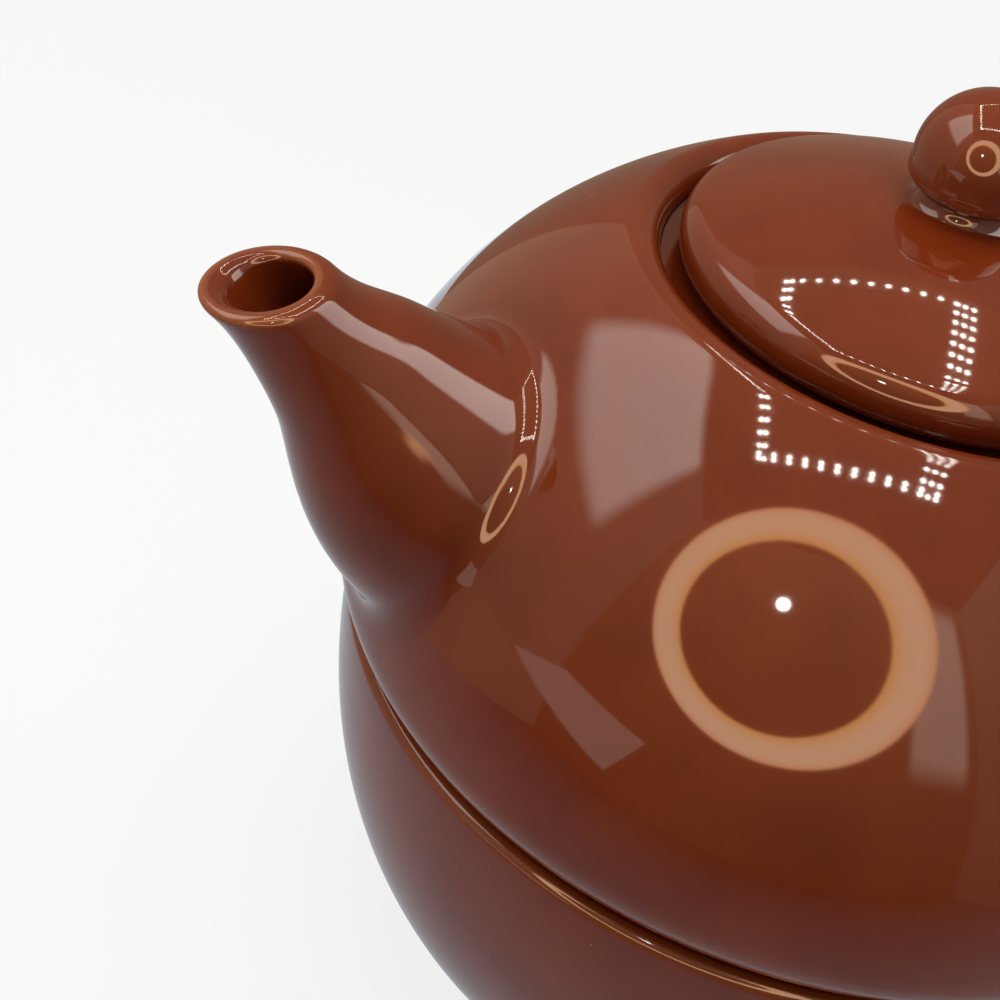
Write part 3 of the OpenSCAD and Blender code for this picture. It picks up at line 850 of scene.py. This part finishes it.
shader = add(tree, "BsdfPrincipled", {"Base Color": tone.outputs["Result"], "IOR": GLAZE_IOR,
                                      "Roughness": gloss.outputs["Result"],
                                      "Normal": wavy.outputs["Normal"]})
add(tree, "OutputMaterial", {"Surface": shader.outputs["BSDF"]})
for piece in glazed_pieces:
    piece.data.materials.clear()
    piece.data.materials.append(glaze)
print(glaze.name, "on", len(glazed_pieces), "pieces")

# %% [markdown]
# ## Bare stoneware
# Fired but unglazed buff clay, wiped with a sponge. It is matt and warm, with grains of fired sand from a
# quarter to one millimetre across that stand a little proud, and a browner flush where the flame reached it.

# %% Bare stoneware
CLAY_IOR = 1.5
CLAY_ROUGHNESS = 0.85
GRAIN_MM = 0.5
FLUSH_MM = 12
GRAIN_HEIGHT_MM = 0.06

clay, tree = new_material("buff_stoneware_sponged")
coords = add(tree, "TexCoord").outputs["Object"]
grains = add(tree, "TexNoise", {"Vector": coords, "Scale": per_mm(GRAIN_MM), "Detail": 3, "Roughness": 0.7})
flush = add(tree, "TexNoise", {"Vector": coords, "Scale": per_mm(FLUSH_MM), "Detail": 3})
warm = add(tree, "ValToRGB", {"Fac": flush.outputs["Fac"]})
warm.color_ramp.elements[0].position = 0.35
warm.color_ramp.elements[0].color = linear("#c29670")
warm.color_ramp.elements[1].position = 0.7
warm.color_ramp.elements[1].color = linear("#a8754e")
dark = add(tree, "MapRange", {"Value": grains.outputs["Fac"], "From Min": 0.58, "From Max": 0.72,
                              "To Max": 0.55})
tone = add(tree, "Mix", {"Factor": dark.outputs["Result"], "A": warm.outputs["Color"],
                         "B": linear("#7d5638")}, data_type="RGBA")
rough = add(tree, "Bump", {"Height": grains.outputs["Fac"], "Distance": GRAIN_HEIGHT_MM * MM,
                           "Strength": 1})
shader = add(tree, "BsdfPrincipled", {"Base Color": tone.outputs["Result"], "Roughness": CLAY_ROUGHNESS,
                                      "Normal": rough.outputs["Normal"], "IOR": CLAY_IOR})
add(tree, "OutputMaterial", {"Surface": shader.outputs["BSDF"]})
for piece in bare_pieces:
    piece.data.materials.clear()
    piece.data.materials.append(clay)
print(clay.name, "on", len(bare_pieces), "pieces")

# %% [markdown]
# ## Floor and surroundings
# A mirror-like glaze shows the room, so the room matters as much as the lamps. The set stands on a plain pale
# floor in a white tent. The floor is part paint and part glow to the eye and to reflections, so it reads as
# white and still keeps the shadow. The glow grows away from the set, so that the floor runs into the white
# behind it without a line. To all other light it is plain paint.

# %% Floor and tent
FLOOR_HALF = 3
FLOOR_GLOW = 0.8
MIRRORED_GLOW = 0.15
FADE_FROM = 150
FADE_TO = 900
TENT_FILL = 0.45

bm = bmesh.new()
bmesh.ops.create_grid(bm, x_segments=1, y_segments=1, size=FLOOR_HALF)
floor = finished("floor", bm)
floor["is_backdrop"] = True
paint, tree = new_material("white_floor_paint")
path = add(tree, "LightPath")
seen = add(tree, "Math", {0: path.outputs["Is Camera Ray"], 1: path.outputs["Is Transmission Ray"]},
           operation="MAXIMUM")
mirrored = add(tree, "Math", {0: path.outputs["Is Glossy Ray"], 1: MIRRORED_GLOW}, operation="MULTIPLY")
seen = add(tree, "Math", {0: seen.outputs["Value"], 1: mirrored.outputs["Value"]}, operation="MAXIMUM")
out = add(tree, "VectorMath", {0: add(tree, "TexCoord").outputs["Object"]}, operation="LENGTH")
far = add(tree, "MapRange", {"Value": out.outputs["Value"], "From Min": FADE_FROM * MM,
                             "From Max": FADE_TO * MM, "To Min": FLOOR_GLOW, "To Max": 1},
          interpolation_type="SMOOTHSTEP")
share = add(tree, "Math", {0: seen.outputs["Value"], 1: far.outputs["Result"]}, operation="MULTIPLY")
matt = add(tree, "BsdfDiffuse", {"Color": linear("#f4f4f2")})
glow = add(tree, "Emission", {"Color": linear("#ffffff"), "Strength": 1})
both = add(tree, "MixShader", {0: share.outputs["Value"], 1: matt.outputs["BSDF"],
                               2: glow.outputs["Emission"]})
add(tree, "OutputMaterial", {"Surface": both.outputs["Shader"]})
floor.data.materials.append(paint)

world = bpy.data.worlds.new("white_tent")
bpy.context.scene.world = world
world.use_nodes = True
tree = world.node_tree
tree.nodes.clear()
path = add(tree, "LightPath")
seen = add(tree, "Math", {0: path.outputs["Is Camera Ray"], 1: path.outputs["Is Glossy Ray"]},
           operation="MAXIMUM")
seen = add(tree, "Math", {0: seen.outputs["Value"], 1: path.outputs["Is Transmission Ray"]},
           operation="MAXIMUM")
level = add(tree, "MapRange", {"Value": seen.outputs["Value"], "To Min": TENT_FILL, "To Max": 1})
sky = add(tree, "Background", {"Color": linear("#ffffff"), "Strength": level.outputs["Result"]})
add(tree, "OutputWorld", {"Surface": sky.outputs["Background"]})
print("Floor is", 2 * FLOOR_HALF, "m wide")

# %% [markdown]
# ## Lamps
# One soft square lamp hangs over the set and one stands at its left. They do all the lighting, with the
# tent's own fill. They are kept out of reflections, because the glaze mirrors the tent built below instead.

# %% Lamps


def soft_lamp(name, place, target, size, level):
    """A square lamp, given by its brightness to the eye, aimed at a point. Places are in millimetres."""
    lamp = bpy.data.lights.new(name, "AREA")
    lamp.size = size * MM
    lamp.energy = level * math.pi * lamp.size ** 2
    holder = bpy.data.objects.new(name, lamp)
    aim = (Vector(target) - Vector(place)).to_track_quat("-Z", "Y").to_matrix().to_4x4()
    holder.matrix_world = Matrix.Translation(Vector(place) * MM) @ aim
    holder.visible_camera = False
    holder.visible_glossy = False
    bpy.context.scene.collection.objects.link(holder)


soft_lamp("top_lamp", place=(-40, -20, 400), target=(-40, -20, 0), size=220, level=4)
soft_lamp("left_lamp", place=(-330, 190, 380), target=(-30, 0, 100), size=280, level=2)
bpy.context.scene.view_settings.view_transform = "Standard"
print("Lamps:", len(bpy.data.lights))

# %% [markdown]
# ## Light tent
# The glaze is a mirror, so it needs a room to show. The set stands in a cloth tent whose front faces the
# camera, with dim walls and brighter cloths hung on three of them. Each wall is a card that shows in
# reflections alone, with a glow that runs from its foot to its top. A slip of paper at the left gives the
# small pale patch low on the belly. A world picture would do the same, but cards have a real size and place.

# %% Tent helpers
TENT_LEFT, TENT_RIGHT, TENT_BACK, TENT_FRONT = -200, 200, -200, 245
TENT_HEIGHT = 430
TENT_TURN = -126.5

tent_front = turn(TENT_TURN)
tent_right = turn(TENT_TURN + 90)


def in_tent(right, ahead, height):
    """A place in the tent, from its middle: to the camera's right, towards the camera, and up."""
    level = tent_right * right + tent_front * ahead
    return Vector((level.x, level.y, height))


def in_reflections(piece):
    """Keeps a piece of the studio out of everything but reflections."""
    for ray in ("camera", "diffuse", "transmission", "shadow"):
        setattr(piece, "visible_" + ray, False)
    piece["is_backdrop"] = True


def flat_card(name, corners):
    """A four-cornered card whose UV runs from its first corner to its third."""
    bm = bmesh.new()
    layer = bm.loops.layers.uv.new("UVMap")
    face = bm.faces.new([bm.verts.new(Vector(corner) * MM) for corner in corners])
    for loop, place in zip(face.loops, ((0, 0), (1, 0), (1, 1), (0, 1))):
        loop[layer].uv = place
    piece = finished(name, bm)
    in_reflections(piece)
    return piece


def glowing_card(name, corners, colour, low, high, soft=0):
    """A card that glows from one level at its foot to another at its top, and may fade out at its edges."""
    piece = flat_card(name, corners)
    glow, tree = new_material(name)
    place = add(tree, "SeparateXYZ", {"Vector": add(tree, "TexCoord").outputs["UV"]})
    level = add(tree, "MapRange", {"Value": place.outputs["Y"], "To Min": low, "To Max": high})
    shader = add(tree, "Emission", {"Color": linear(colour), "Strength": level.outputs["Result"]})
    for axis in "XY" if soft else "":
        inside = add(tree, "Math", {0: place.outputs[axis], 1: 0.5}, operation="PINGPONG")
        fade = add(tree, "MapRange", {"Value": inside.outputs["Value"], "From Max": soft},
                   interpolation_type="SMOOTHSTEP")
        clear = add(tree, "BsdfTransparent")
        shader = add(tree, "MixShader", {0: fade.outputs["Result"], 1: clear.outputs["BSDF"],
                                         2: shader.outputs[0]})
    add(tree, "OutputMaterial", {"Surface": shader.outputs[0]})
    piece.data.materials.append(glow)


def upright(start, end, foot=0, top=TENT_HEIGHT):
    """Corners of a card that stands between two places on the tent's floor."""
    return [in_tent(*start, foot), in_tent(*end, foot), in_tent(*end, top), in_tent(*start, top)]


def lying(corners, height):
    """Corners of a card that lies level in the tent."""
    return [in_tent(*corner, height) for corner in corners]


print("Tent is", TENT_RIGHT - TENT_LEFT, "mm wide and", TENT_HEIGHT, "mm high")

# %% Tent walls
FLOOR_GAP = 0.5
CLOTH_GAP = 1

front_left, front_right = (TENT_LEFT, TENT_FRONT), (TENT_RIGHT, TENT_FRONT)
back_left, back_right = (TENT_LEFT, TENT_BACK), (TENT_RIGHT, TENT_BACK)
tent_plan = (front_left, front_right, back_right, back_left)
glowing_card("front_wall", upright(front_left, front_right), "#ffd2a6", 0.15, 1)
glowing_card("left_wall", upright(back_left, front_left), "#ffe2c8", 0.45, 0.9)
glowing_card("back_wall", upright(back_right, back_left), "#ffdcc0", 0.25, 0.5)
glowing_card("right_wall", upright(front_right, back_right), "#ffe4cc", 0.3, 1)
glowing_card("ceiling", lying(tent_plan, TENT_HEIGHT), "#ffd8b4", 0.5, 0.7)
glowing_card("tent_floor", lying(tent_plan, FLOOR_GAP), "#e8f2fa", 0.05, 1.05)

# %% Bright cloths
left_side, right_side = TENT_LEFT + CLOTH_GAP, TENT_RIGHT - CLOTH_GAP
front_side = TENT_FRONT - CLOTH_GAP
left_cloth = upright((left_side, -64), (left_side, 160), 205, 428)
glowing_card("left_cloth", left_cloth, "#fff2e6", 3.2, 4.2, soft=0.12)
right_cloth = upright((right_side, 20), (right_side, -198), 150, 428)
glowing_card("right_cloth", right_cloth, "#fff2ea", 4, 6, soft=0.12)
front_cloth = upright((115, front_side), (190, front_side), 130, 420)
glowing_card("front_cloth", front_cloth, "#ffe8d2", 2.2, 2.8, soft=0.15)
paper = ((-188, -22, 76), (-184, -58, 91), (-160, -114, 82), (-164, -98, 45))
glowing_card("paper", paper, "#fff0e0", 1.2, 1.2)

# %% [markdown]
# ## Small lamps
# A frame of small lamps hangs under the ceiling, and each shows as a dot on the shoulder and on the lid. A
# ring lamp round the lens gives the round mark on the belly, with one more small lamp inside it. The ring is
# a frosted tube, a little deeper in colour at both edges. A ramp over the distance from its middle draws it.

# %% Frame of small lamps
FRAME_MIDDLE = Vector((-29, -30))
FRAME_TURN = -6
FRAME_DROP = 5
END_ROWS = (-139, 132, 139)
SIDE_ROWS = (-107, -100, 83, 93, 103)
END_DOTS = 12
SIDE_DOTS = 16
DOT_SIZE = 5
DOT_LEVEL = 60
LENS_LAMP = (-5, 16, 0)
LENS_LAMP_R = 4
LENS_LAMP_SIDES = 24

frame_right = turn(FRAME_TURN)
frame_ahead = turn(FRAME_TURN + 90)
places = [(x, y) for x in np.linspace(SIDE_ROWS[0], SIDE_ROWS[-1], END_DOTS) for y in END_ROWS]
places += [(x, y) for x in SIDE_ROWS for y in np.linspace(END_ROWS[0], END_ROWS[-1], SIDE_DOTS)]
bm = bmesh.new()
for right, ahead in places:
    level = FRAME_MIDDLE + frame_right * right + frame_ahead * ahead
    at = Matrix.Translation(in_tent(*level, TENT_HEIGHT - FRAME_DROP) * MM)
    bmesh.ops.create_grid(bm, x_segments=1, y_segments=1, size=DOT_SIZE / 2 * MM, matrix=at)
lens_lamp = camera.matrix_world @ Matrix.Translation(Vector(LENS_LAMP) * MM)
bmesh.ops.create_circle(bm, cap_ends=True, segments=LENS_LAMP_SIDES, radius=LENS_LAMP_R * MM,
                        matrix=lens_lamp)
dots = finished("small_lamps", bm)
in_reflections(dots)
glow, tree = new_material("small_lamps")
light = add(tree, "Emission", {"Color": linear("#fff6ea"), "Strength": DOT_LEVEL})
add(tree, "OutputMaterial", {"Surface": light.outputs["Emission"]})
dots.data.materials.append(glow)

# %% Ring lamp
RING_MIDDLE = Vector((-11, -5, 0))
RING_HALF = 100
RING_LEVEL = 7.2
RING_RAMP = ((0.615, "#ffb468", 0), (0.635, "#ffc078", 1), (0.7, "#ffd2a4", 1), (0.8, "#ffd4ac", 1),
             (0.855, "#ffc494", 1), (0.88, "#ffb078", 0))

square = [RING_MIDDLE + Vector((x, y, 0)) * RING_HALF for x, y in ((-1, -1), (1, -1), (1, 1), (-1, 1))]
ring_lamp = flat_card("ring_lamp", [camera.matrix_world @ (corner * MM) / MM for corner in square])
glow, tree = new_material("ring_lamp")
place = add(tree, "TexCoord").outputs["UV"]
out = add(tree, "VectorMath", {0: place, 1: (0.5, 0.5, 0)}, operation="DISTANCE")
out = add(tree, "Math", {0: out.outputs["Value"], 1: 2}, operation="MULTIPLY")
ring = add(tree, "ValToRGB", {"Fac": out.outputs["Value"]})
ring.color_ramp.elements.remove(ring.color_ramp.elements[1])
for number, (spot, tone, cover) in enumerate(RING_RAMP):
    stop = ring.color_ramp.elements.new(spot) if number else ring.color_ramp.elements[0]
    stop.position = spot
    stop.color = linear(tone)[:3] + [cover]
light = add(tree, "Emission", {"Color": ring.outputs["Color"], "Strength": RING_LEVEL})
clear = add(tree, "BsdfTransparent")
both = add(tree, "MixShader", {0: ring.outputs["Alpha"], 1: clear.outputs["BSDF"], 2: light.outputs[0]})
add(tree, "OutputMaterial", {"Surface": both.outputs["Shader"]})
ring_lamp.data.materials.append(glow)
print("Ring lamp is", 2 * RING_HALF * RING_RAMP[-1][0], "mm across")

# %% Finish
boxes = {"cad": [list(corner) for corner in cad_box], "visual": [list(corner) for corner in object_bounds()]}
print("Boxes in mm:", {k: [[round(x / MM, 1) for x in c] for c in v] for k, v in boxes.items()})
